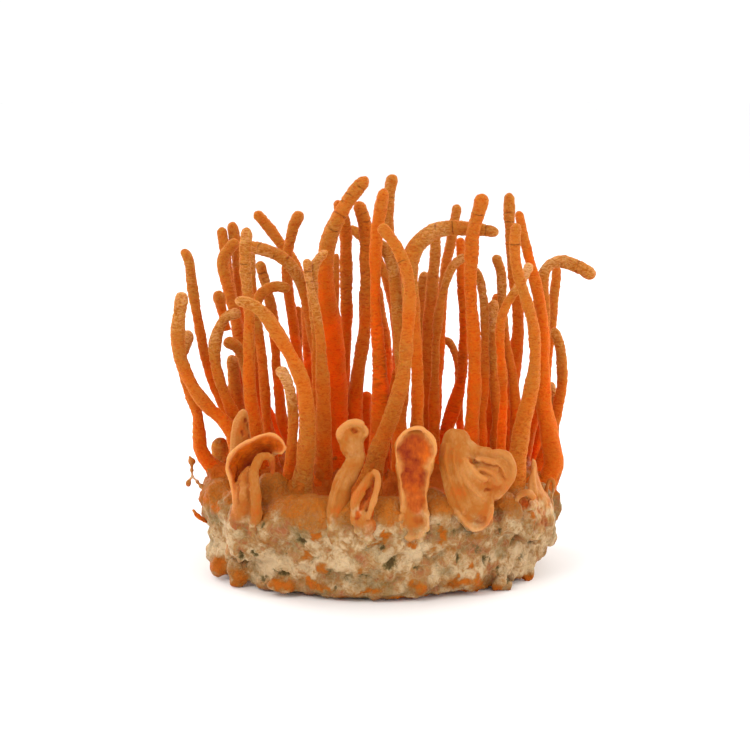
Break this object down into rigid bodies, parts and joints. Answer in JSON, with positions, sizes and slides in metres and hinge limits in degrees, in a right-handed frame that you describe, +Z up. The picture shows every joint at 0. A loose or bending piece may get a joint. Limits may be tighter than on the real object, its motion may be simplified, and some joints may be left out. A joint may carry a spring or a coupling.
{
  "type": "cordyceps bunch",
  "caption": "Bunch of slender orange fungus clubs, some hooked or arched, with curled lobes at the foot, growing from a round lumpy grain and mycelium cake",
  "frame": {"origin": "the middle of the flat underside of the cake, which is the face the bunch stands on", "axes": "+Z up along the clubs, -Y towards the side seen in the picture, +X to that view's right"},
  "size_m": [0.0972, 0.0834, 0.09],
  "materials": {
    "club_orange": "finely granular fungus skin, ochre at the tips",
    "lobe_orange": "soft folded fungus flesh, dark red in the hollows",
    "grain_cream": "cream mycelium film over cooked grains"
  },
  "bodies": {
    "root": {"grain_cake": "grain_cream", "curled_lobe": "lobe_orange", "ear_lobe": "lobe_orange", "hooked_stub": "lobe_orange", "paddle_lobe": "lobe_orange", "folded_lobe": "lobe_orange", "torn_flap": "lobe_orange", "beaded_sprig": "lobe_orange", "rim_flap": "lobe_orange", "club_01": "club_orange", "club_02": "club_orange", "club_03": "club_orange", "club_04": "club_orange", "club_05": "club_orange", "club_06": "club_orange", "club_07": "club_orange", "club_08": "club_orange", "club_09": "club_orange", "club_10": "club_orange", "club_11": "club_orange", "club_12": "club_orange", "club_13": "club_orange", "club_14": "club_orange", "club_15": "club_orange", "club_16": "club_orange", "club_17": "club_orange", "club_18": "club_orange", "club_19": "club_orange", "club_20": "club_orange", "club_21": "club_orange", "club_22": "club_orange", "club_23": "club_orange", "club_24": "club_orange", "club_25": "club_orange", "club_26": "club_orange", "club_27": "club_orange", "club_28": "club_orange", "club_29": "club_orange", "club_30": "club_orange", "club_31": "club_orange", "club_32": "club_orange", "club_33": "club_orange", "club_34": "club_orange", "club_35": "club_orange", "club_36": "club_orange", "club_37": "club_orange", "club_38": "club_orange", "club_39": "club_orange", "club_40": "club_orange", "club_41": "club_orange", "club_42": "club_orange", "club_43": "club_orange", "club_44": "club_orange", "club_45": "club_orange", "club_46": "club_orange", "club_47": "club_orange", "club_48": "club_orange", "club_49": "club_orange", "club_50": "club_orange", "club_51": "club_orange"}
  },
  "joints": []
}
